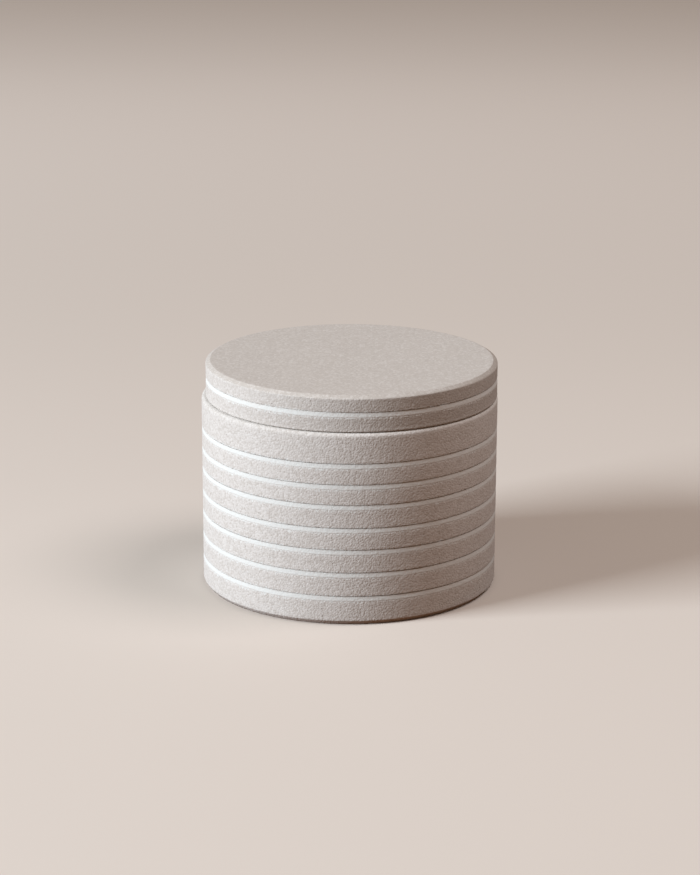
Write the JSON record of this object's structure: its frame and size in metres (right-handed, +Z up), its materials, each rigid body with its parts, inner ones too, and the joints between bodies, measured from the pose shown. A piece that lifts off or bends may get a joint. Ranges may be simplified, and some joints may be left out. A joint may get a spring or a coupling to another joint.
{
  "type": "pyxis box",
  "caption": "Round stoneware pyxis box with white slip in turned grooves, a flat lift-off lid with a locating flange, and a glazed inside.",
  "frame": {"origin": "centre of the foot ring, on the surface that the box stands on", "axes": "+Z up along the axis of the box, -Y to the front; the lid rests a fraction of a millimetre towards +X"},
  "size_m": [0.11, 0.11, 0.0851],
  "materials": {
    "clay": "unglazed sandy stoneware, matt",
    "white_slip": "white slip, matt",
    "glaze": "satin cream glaze"
  },
  "bodies": {
    "box": {"box_body": "clay", "inside_glaze": "glaze", "body_slip_line_1": "white_slip", "body_slip_line_2": "white_slip", "body_slip_line_3": "white_slip", "body_slip_line_4": "white_slip", "body_slip_line_5": "white_slip", "body_slip_line_6": "white_slip", "body_slip_line_7": "white_slip"},
    "lid": {"lid": "clay", "lid_slip_line": "white_slip", "lid_inside_glaze": "glaze"}
  },
  "joints": [
    {"name": "lid_lift", "type": "slide", "parent": "box", "child": "lid", "axis": [0, 0, 1], "range_m": [0, 0.06]}
  ]
}
